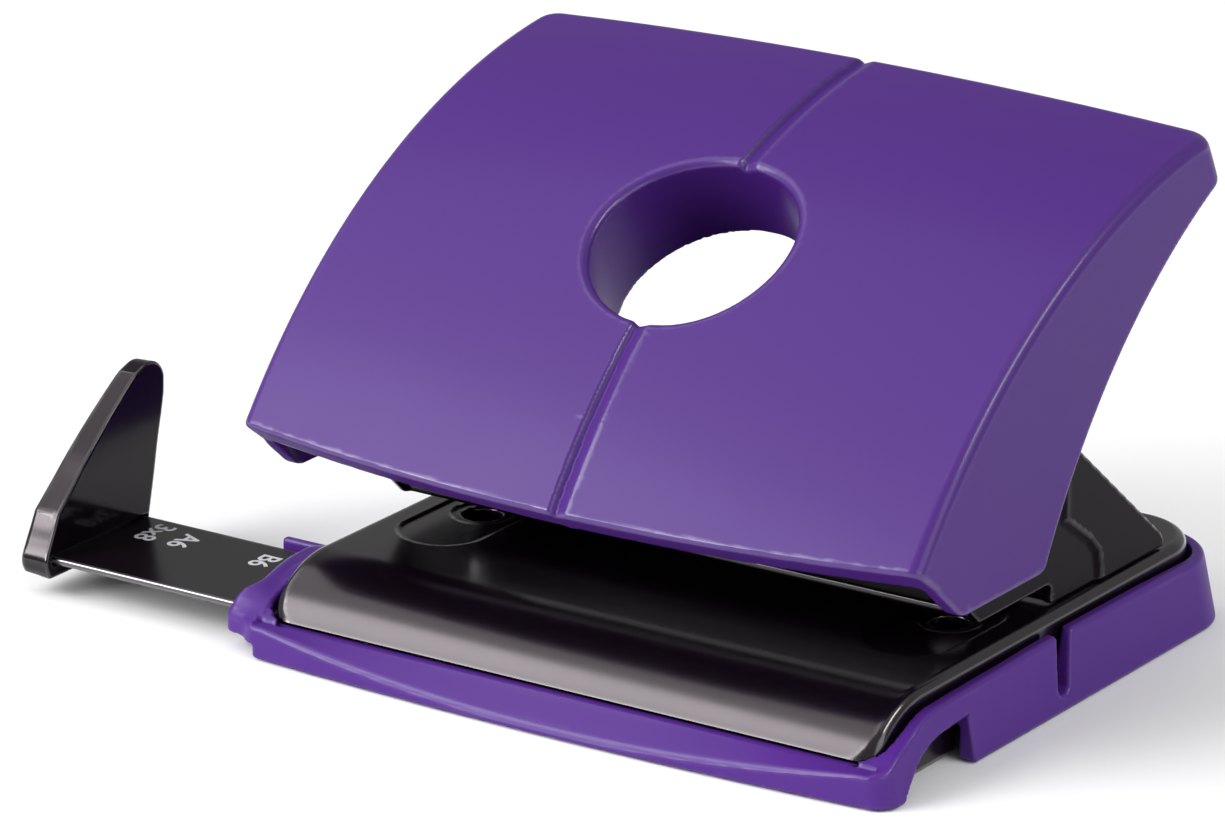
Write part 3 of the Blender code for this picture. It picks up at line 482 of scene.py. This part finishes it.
def plate_field(x, y, z):
    """Inverted pan with a pillow front and an oval dimple around each die hole."""
    side = np.abs(x)
    pillow_z = PLATE_TOP - PILLOW_RADIUS
    roll = np.where(y < PILLOW_Y, np.hypot(y - PILLOW_Y, z - pillow_z) - PILLOW_RADIUS, z - PLATE_TOP)
    along = np.clip(y, -9.6, 2.5)
    dimple = np.hypot(side - HOLE_X, y - along) - 7.0
    hole = np.hypot(side - HOLE_X, y)
    roll = roll + 0.38 * fade(dimple, -0.9, 0.15) + 0.22 * fade(hole, 4.2, 4.9)
    plan = plan_box(x, y, (-PLATE_X, -39.2), (PLATE_X, PLATE_REAR), 5.0, 10.5)
    body = both(roll, plan, 1.6)
    low_edge = np.where(y < -33.5, 5.1, np.where(x < 0, np.where(y < -4.5, 7.8, 4.0), 5.5))
    body = both(body, low_edge - z)
    lug = brick(x, y, z, (48, -30.4, 0.7), (PLATE_X + 3, -16.2, 9.0), 1.0)
    hollow = both(roll + SHEET, plan + SHEET, 1.0)
    lug = both(lug, both(plan, -(plan + SHEET)), 0.3)
    shell = either(without(body, hollow), lug, 0.3)
    return without(shell, hole - PIN_RADIUS - 0.15, 0.25)


def build_plate():
    plate = skin("base_pan", plate_field, (-52, -38.5, 0), (52, 55.3, 13.5), 0.5, 0.45)
    finish(plate, "enamel", "black_enamel")
    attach(plate, "punch_unit")
    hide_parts("base_plate")


def cheek_outline():
    slot_end = arc((SLOT_END - 1.6, SLOT_TOP - 1.6), 1.6, 90, 0, 5)
    foot = PLATE_TOP + 0.3
    rear = [(SLOT_END, foot), (42.0, foot), (42.0, 14.2), (40.9, 15.6)]
    crown = arc((8.6, 38.2), 3.0, 50, 90, 4)
    nose = arc((AXLE_Y, AXLE_Z), 8.0, 95, 222, 12)
    return [(-7.5, SLOT_TOP)] + slot_end + rear + crown + nose


CHEEK = cheek_outline()
PRESSED = [
    (13.2, 24.0), (20.6, 18.8), (22.3, 17.0), (22.7, 15.0), (22.7, 8.0), (-30, 8.0), (-30, 42),
    (13.2, 42),
]


def frame_field(x, y, z):
    """Two cheeks with a pressed area each, the web between them, the stop behind the slot and the feet."""
    side = np.abs(x)
    pressed = 0.8 * fade(outline(PRESSED, y, z), 0.6, 2.2)
    outer = side + pressed - CHEEK_X
    cheek = both(both(outer, -(outer + SHEET)), outline(CHEEK, y, z), 0.35)
    web = brick(x, y, z, (-49.0, -7.1, SLOT_TOP), (49.0, SLOT_END + 1.2, SLOT_TOP + 1.4), 0.4)
    stop = brick(
        x, y, z, (-48.9, SLOT_END, PLATE_TOP + 0.5), (48.9, SLOT_END + 1.2, SLOT_TOP + 1.0), 0.3
    )
    foot = brick(side, y, z, (39.5, 17, PLATE_TOP + 0.3), (49.0, 41, PLATE_TOP + 1.5), 0.4)
    whole = either(either(either(cheek, web, 0.5), stop, 0.5), foot, 0.7)
    guide = np.hypot(side - HOLE_X, y) - PIN_RADIUS - 0.15
    axle = np.hypot(y - AXLE_Y, z - AXLE_Z) - 2.75
    return without(without(whole, guide, 0.2), axle, 0.2)


def build_frame():
    body = skin("pressed_frame", frame_field, (-51, -22.5, 12.5), (51, 43, 41.8), 0.45, 0.5)
    finish(body, "frame", "black_enamel")
    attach(body, "punch_unit")
    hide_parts("punch_frame")


# ---------------------------------------------------------------- chip tray

def tray_front(x):
    return -42.7 + 1.9 * np.minimum((x / 50.0) ** 2, 1.25)


WALL_TOP = (
    (-60, 4.7), (-41.5, 4.8), (-39.0, 5.2), (-37.3, 6.0), (-36.3, 6.6), (-34.4, 7.3), (-32.5, 8.1),
    (-29.9, 9.3), (-27.0, 10.2), (-12.0, 10.5), (5.0, 10.75), (10.0, 10.75), (30.0, 10.6),
    (46.0, 10.2), (60, 10.1),
)
LEFT_TOP = 10.0
EAR_INNER_TOP = (
    (-60, 5.1), (-38.8, 5.2), (-37.3, 6.2), (-36.3, 6.9), (-34.4, 7.5), (-32.5, 8.2), (-29.9, 9.3),
    (-26.1, 9.9), (60, 9.9),
)
EAR_OUTER_TOP = (
    (-60, 4.5), (-38.2, 4.6), (-37.4, 6.0), (-35.8, 8.2), (-34.6, 9.0), (-33.0, 9.7), (-30.0, 10.0),
    (-20.0, 9.95), (-12.0, 7.1), (60, 7.0),
)
EAR_OUTER = (
    (-60, -57.0), (-35.6, -56.8), (-34.6, -55.9), (-33.6, -55.2), (-32.4, -55.1), (-31.0, -55.4),
    (-27.5, -56.3), (-24.0, -56.9), (-20.0, -57.2), (60, -57.3),
)
EAR_X, EAR_FRONT, EAR_REAR = -58.4, -38.2, -11.2
EAR_BOTTOM, EAR_KINK, EAR_TOP = 2.0, 4.6, 10.0

# The relief under the right wall and the slot that frees the latch, as (y, z) outlines.
ARCH = [
    (-17.6, -5), (-17.6, 6.8), (-21.5, 6.6), (-25.0, 6.3), (-27.4, 5.9), (-30.2, 4.8), (-32.0, 3.5),
    (-33.8, 1.9), (-35.4, 0.0), (-36.0, -5),
]
SLOT = [(8.0, 15), (5.7, 3.2), (6.2, 2.4), (7.6, 2.2), (8.4, 2.9), (12.0, 15)]
HINGE_X, HINGE_Z, HOOK_ROWS = -50.9, 9.2, (8.0, 38.0)
GUIDE_SCREW_X, GUIDE_SCREW_Y = (-44.0, -27.0), -8.8


def profile(points, value):
    """Reads a line of (position, height) points at each value, with its kinks eased."""
    total = 0
    for shift in (-0.9, -0.3, 0.3, 0.9):
        total = total + np.interp(value + shift, [p[0] for p in points], [p[1] for p in points])
    return total / 4


def tray_field(x, y, z):
    """Chip tray: crescent ramp in front, side walls, an ear on the left, a latch wall on the right."""
    leant_x, leant_y = np.abs(x) + SIDE_LEAN * z, y + REAR_LEAN * z
    plan = plan_box(leant_x, leant_y, (-TRAY_X, -60), (TRAY_X, TRAY_REAR), 1.0, 12.0)
    body = both(plan, tray_front(x) - y, 3.0)
    wall_top = profile(WALL_TOP, y)
    wall_top = wall_top - np.maximum(wall_top - LEFT_TOP, 0) * fade(x, -50, -44)
    low = LEDGE_Z - 3.9 * (1 - np.minimum((x / 50.0) ** 2, 1))
    crease = tray_front(x)
    ramp = low + (LEDGE_Z + 0.1 - low) * np.clip((y - crease) / (LEDGE_FRONT - crease), 0, 1)
    ramp = ramp + 3.0 * fade(np.abs(x), 54.0, 51.9)
    top = np.minimum(np.where(y < LEDGE_FRONT, ramp, 20.0), wall_top)
    body = both(both(body, z - top, 0.7), -z, 0.4)

    outer = profile(EAR_OUTER, y)
    rising = EAR_X + (outer - EAR_X) * (z - EAR_KINK) / (EAR_TOP - EAR_KINK)
    slanted = np.where(z > EAR_KINK, rising, EAR_X)
    across = np.clip((-52 - x) / 6, 0, 1)
    ear_top = profile(EAR_INNER_TOP, y) * (1 - across) + profile(EAR_OUTER_TOP, y) * across
    ear = both(slanted - x, z - ear_top, 0.9)
    ear = both(ear, both(EAR_FRONT - 0.23 * (x + 58) - y, y - EAR_REAR, 0.5), 0.9)
    ear = both(ear, both(EAR_BOTTOM - z, x + 52.0), 0.3)
    body = either(body, ear, 0.5)
    overhang = brick(x, y, z, (-70, -60, -5), (-51.9, -31, 2.0), 0.4)
    body = without(body, overhang, 0.4)
    finger = brick(x, y, z, (-67.1, EAR_REAR - 1.5, 3.2), (-54, EAR_REAR, 6.9), 0.5)
    body = either(body, finger, 0.4)

    cavity = plan_box(x, y, (INNER_LEFT, -36.8), (INNER_RIGHT, CAVITY_REAR), 2.0, 9.8)
    body = without(body, both(cavity, 1.4 - z, 0.8), 0.4)
    seat = both(plan_box(x, y, (INNER_LEFT, LEDGE_FRONT), (INNER_RIGHT, 0), 4.5, 1.0), LEDGE_Z - z)
    body = without(body, seat, 0.35)

    body = without(body, both(outline(ARCH, y, z), 47.0 - x), 0.4)
    body = without(body, both(outline(SLOT, y, z), INNER_RIGHT - 1.0 - x), 0.7)
    window = brick(x, y, z, (42, -31.2, -5), (52.5, -3, 5))
    body = without(body, window, 0.3)
    way = brick(x, y, z, (-70, RAIL_FRONT - 0.2, 4.4), (-50, RAIL_REAR + 0.3, 6.0))
    body = without(body, way, 0.2)

    for column in GUIDE_SCREW_X:
        post = np.hypot(x - column, y - GUIDE_SCREW_Y)
        boss = both(post - 2.5, both(z - 5.65, 0.7 - z))
        body = without(either(body, boss, 0.4), both(post - 1.2, 1.6 - z))
    for row in HOOK_ROWS:
        hook = both(np.hypot(x - HINGE_X, z - HINGE_Z) - 0.8, np.abs(y - row) - 3.5)
        root = brick(x, y, z, (-53.5, row - 3.5, 8.4), (HINGE_X, row + 3.5, 9.7))
        body = either(body, either(hook, root))
    return body


def build_tray():
    tray = skin("waste_tray", tray_field, (-67.8, -44, -0.5), (56, 58.3, 11.5), 0.5, 0.5)
    finish(tray, "tray", "tray_plastic")
    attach(tray, "tray")
    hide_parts("chip_tray")


# ---------------------------------------------------------------- paper stop

def smooth_line(points, steps=5):
    """A Catmull-Rom curve through the points."""
    padded = [points[0]] + points + [points[-1]]
    line = []
    for four in zip(padded, padded[1:], padded[2:], padded[3:]):
        for i in range(steps):
            t = i / steps
            line.append(tuple(
                0.5 * (
                    2 * b + (c - a) * t + (2 * a - 5 * b + 4 * c - d) * t ** 2
                    + (3 * b - a - 3 * c + d) * t ** 3
                )
                for a, b, c, d in zip(*four)
            ))
    return line + [points[-1]]


# The fence's outline as (y, z): its foot, its long slope, its rounded tip and its back.
FENCE_LINE = smooth_line([
    (-36.7, 2.6), (-37.3, 3.6), (-37.6, 4.9), (-37.3, 6.1), (-36.4, 8.0), (-35.4, 10.0), (-34.5, 11.9),
])
FENCE_LINE += smooth_line([
    (-34.0, 12.4), (-30.3, 15.9), (-26.3, 19.7), (-21.7, 23.6), (-17.3, 27.0), (-15.3, 28.4),
])
FENCE_LINE += arc((-12.1, 25.8), 3.55, 112, 8, 10)
FENCE_LINE += smooth_line([
    (-8.7, 23.7), (-9.3, 21.0), (-10.4, 16.7), (-11.5, 11.5), (-12.9, 5.6), (-13.6, 2.6),
])


def fence_field(x, y, z):
    """A three-cornered plate with a rim on its outer side; the rim is deepest at the foot."""
    shape = outline(FENCE_LINE, y, z)
    draft = 0.05 * (FENCE_X - x)
    depth = np.interp(z, (2.4, 12.0, 29.4), (5.25, 4.9, 3.6))
    outer = both(both(shape + draft, x - FENCE_X, 0.35), FENCE_X - depth - x, 0.6)
    pocket = both(shape + FENCE_WALL, x - (FENCE_X - FENCE_PLATE), 0.4)
    body = without(outer, pocket, 0.3)
    low, high = (-110, RAIL_FRONT - 0.3, RAIL_TOP - 1.3), (-80, RAIL_REAR + 0.3, RAIL_TOP + 0.3)
    slot = brick(x, y, z, low, high)
    return without(body, slot, 0.1)


# Where the click grooves lie along the rail, at the spacing of the paper formats.
CLICKS = (-57.3, -51.8, -37.8, -20.8, -0.8, 22.7)

# Generic paper-format marks on the rail: text, x and y of the middle.
MARKS = (("B6", -65.3, -19.6), ("A6", -80.1, -19.4), ("3x8", -86.0, -18.8))


def rail_field(x, y, z):
    """A flat strip with eased edges and a row of click grooves on its underside."""
    low = RAIL_TOP - 1.0
    strip = brick(x, y, z, (FENCE_X - 4.0, RAIL_FRONT, low), (26.0, RAIL_REAR, RAIL_TOP), 0.28)
    for stop in CLICKS:
        groove = brick(x, y, z, (stop - 0.7, -29, low - 1), (stop + 0.7, -20, low + 0.35))
        strip = without(strip, groove, 0.1)
    return strip


def build_rail():
    rail = skin("stop_strip", rail_field, (-96, -36.5, 4.4), (26.8, -13, 6.0), 0.35, 0.35)
    finish(rail, "rail", "black_rail")
    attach(rail, "stop")
    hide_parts("stop_rail")
    for row, (text, x, y) in enumerate(MARKS):
        mark = bpy.data.curves.new(f"format_mark_{row}", "FONT")
        mark.body = text
        mark.align_x, mark.align_y = "CENTER", "CENTER"
        mark.size = 4.8 * MM
        mark.offset = 0.07 * MM
        mark.extrude = 0.01 * MM
        piece = bpy.data.objects.new(f"format_mark_{row}", mark)
        bpy.context.scene.collection.objects.link(piece)
        turn = Matrix.Rotation(math.radians(-90), 4, "Z")
        piece.matrix_world = Matrix.Translation((x * MM, y * MM, (RAIL_TOP + 0.02) * MM)) @ turn
        finish(piece, "print", "black_rail")
        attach(piece, "stop")


def build_stop():
    fence = skin("paper_fence", fence_field, (-97, -38, 2), (-91, -8, 31), 0.35, 0.6)
    finish(fence, "gloss", "black_gloss")
    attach(fence, "stop")
    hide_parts("stop_fence")


# ---------------------------------------------------------------- return springs


def build_springs():
    """The coils around the pins, copied as they stand in the CAD model; on the punch they shorten onto the
    upper guide as the pins go down.
    """
    for word, side in (("left", -1), ("right", 1)):
        name = f"pin_spring_{word}"
        spring = bpy.data.objects.new(f"return_spring_{word}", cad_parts[name].data.copy())
        bpy.context.scene.collection.objects.link(spring)
        finish(spring, "spring", "spring_steel")
        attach(spring, "punch_unit")
        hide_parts(name)
        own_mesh(spring)


# ---------------------------------------------------------------- CAD nodes that keep their own shape

def dress_nodes():
    looks = {
        "rail_guide": ("dark_plastic", "guide_plastic"),
        "rail_spring": ("spring", "spring_steel"),
        "upper_guide": ("zinc", "zinc_steel"),
        "pivot_axle": ("zinc", "zinc_steel"),
        "press_lever": ("enamel", "black_lever"),
    }
    for name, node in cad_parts.items():
        if name in looks:
            finish(node, *looks[name])
        elif name.startswith(("axle_clip", "pin_clip")):
            finish(node, "spring", "spring_steel")
        elif name.startswith("punch_pin"):
            finish(node, "ground", "hard_steel")
        elif "screw" in name or "rivet" in name:
            finish(node, "zinc", "zinc_screw")


# ---------------------------------------------------------------- studio

def area_light(name, place, target, size, power, colour=(1, 1, 1)):
    light = bpy.data.lights.new(name, "AREA")
    light.shape = "RECTANGLE"
    light.size, light.size_y = size
    light.energy = power
    light.color = colour
    made = bpy.data.objects.new(name, light)
    made.location = place
    made.rotation_euler = (Vector(target) - Vector(place)).to_track_quat("-Z", "Y").to_euler()
    bpy.context.scene.collection.objects.link(made)


def build_studio():
    world = bpy.data.worlds.new("studio")
    bpy.context.scene.world = world
    world.use_nodes = True
    world.node_tree.nodes["Background"].inputs["Color"].default_value = (1, 1, 1, 1)
    world.node_tree.nodes["Background"].inputs["Strength"].default_value = 0.35
    floor_mesh = bpy.data.meshes.new("floor")
    bm = bmesh.new()
    bmesh.ops.create_grid(bm, x_segments=1, y_segments=1, size=6)
    bm.to_mesh(floor_mesh)
    bm.free()
    floor = bpy.data.objects.new("floor", floor_mesh)
    bpy.context.scene.collection.objects.link(floor)
    floor.location = (0, 0, -0.0002)
    paper = Nodes("pale_floor")
    shade = paper.blend(paper.noise(3, 2), (0.86, 0.86, 0.86), (0.88, 0.88, 0.88))
    paper.link(shade, paper.shader.inputs["Base Color"])
    floor.data.materials.append(paper.set(Roughness=0.8).material)
    area_light("key", (-0.64, -0.74, 0.70), (0, 0, 0.03), (0.85, 0.52), 9.5)
    area_light("fill", (-0.75, -0.30, 1.25), (0, 0, 0.03), (1.5, 1.3), 9.5)
    area_light("strip", (-0.72, -1.04, 0.38), (0, 0, 0.03), (0.6, 0.18), 7)
    area_light("top", (0.25, 0.0, 1.4), (0, 0, 0.03), (1.0, 0.8), 1.5)
    area_light("right", (1.3, -0.35, 0.5), (0, 0, 0.03), (1.0, 0.8), 4.5)
    area_light("rim", (0.95, 0.15, 0.9), (0, 0, 0.03), (0.7, 0.16), 6)
    view = bpy.context.scene.view_settings
    view.view_transform = "Standard"


def build_camera():
    """Looks at the punch from the front right; the three rows are its right, up and back directions."""
    camera = bpy.data.cameras.new("camera")
    camera.sensor_width = 36
    camera.lens = 223.0
    camera.clip_start = 0.1
    camera.clip_end = 20
    azimuth, elevation = math.radians(34.168), math.radians(18.869)
    back = Vector((
        math.sin(azimuth) * math.cos(elevation), -math.cos(azimuth) * math.cos(elevation),
        math.sin(elevation),
    ))
    right = Vector((math.cos(azimuth), math.sin(azimuth), 0))
    turn = Matrix((right, back.cross(right), back)).transposed()
    made = bpy.data.objects.new("camera", camera)
    bpy.context.scene.collection.objects.link(made)
    made.matrix_world = Matrix.Translation((0.5607, -0.8513, 0.3839)) @ turn.to_4x4()
    bpy.context.scene.camera = made


def main():
    build_camera()
    build_studio()
    build_handle()
    build_plate()
    build_frame()
    build_tray()
    build_stop()
    build_rail()
    build_springs()
    dress_nodes()


main()
